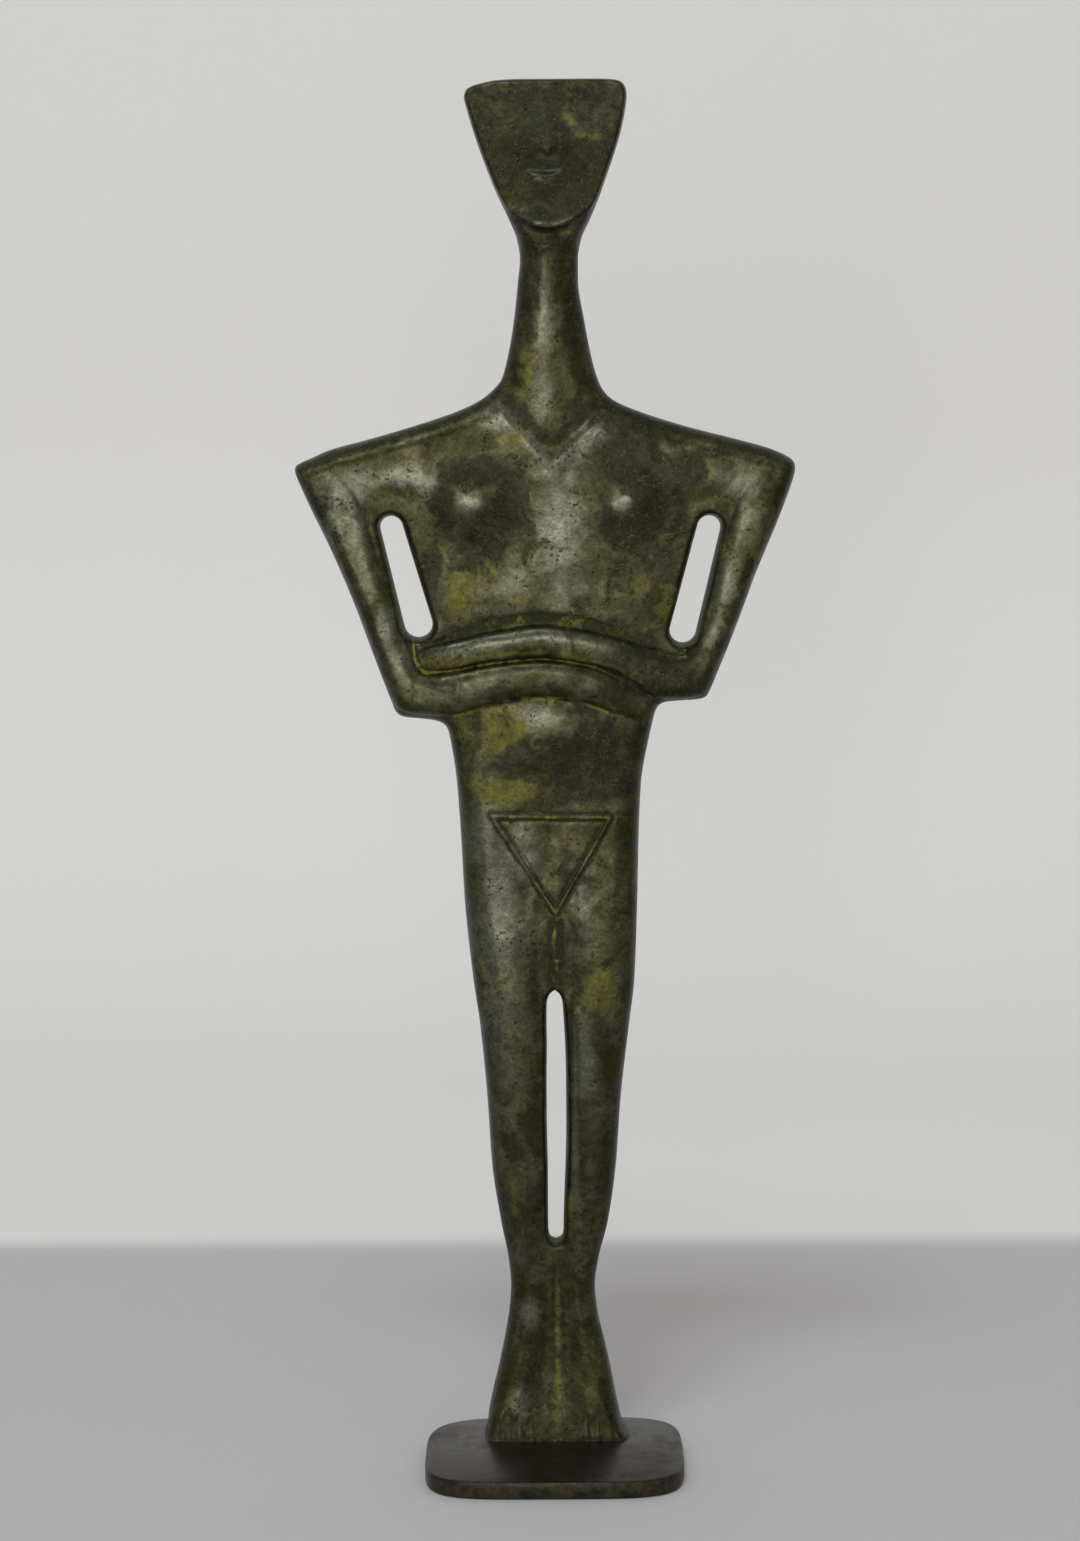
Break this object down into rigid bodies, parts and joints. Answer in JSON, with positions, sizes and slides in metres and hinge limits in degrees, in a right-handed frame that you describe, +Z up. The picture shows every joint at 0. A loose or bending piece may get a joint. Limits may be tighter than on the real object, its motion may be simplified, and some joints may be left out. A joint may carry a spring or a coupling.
{
  "type": "figurine",
  "caption": "Flat standing female figure with folded arms, arm and leg slots, a shield-shaped face leaning back, on a thin rounded foot plate; patinated cast bronze.",
  "frame": {"origin": "middle of the foot plate's underside", "axes": "+Z up along the figure's height, -Y the way the face and folded arms look, +X to the figure's left"},
  "size_m": [0.1033, 0.0454, 0.29],
  "materials": {
    "figure_bronze": "dark green-brown patina, waxed, with yellow-olive patches in the hollows",
    "plate_bronze": "dark brown patina, smooth and waxed"
  },
  "bodies": {
    "root": {"figure": "figure_bronze", "foot_plate": "plate_bronze"}
  },
  "joints": []
}
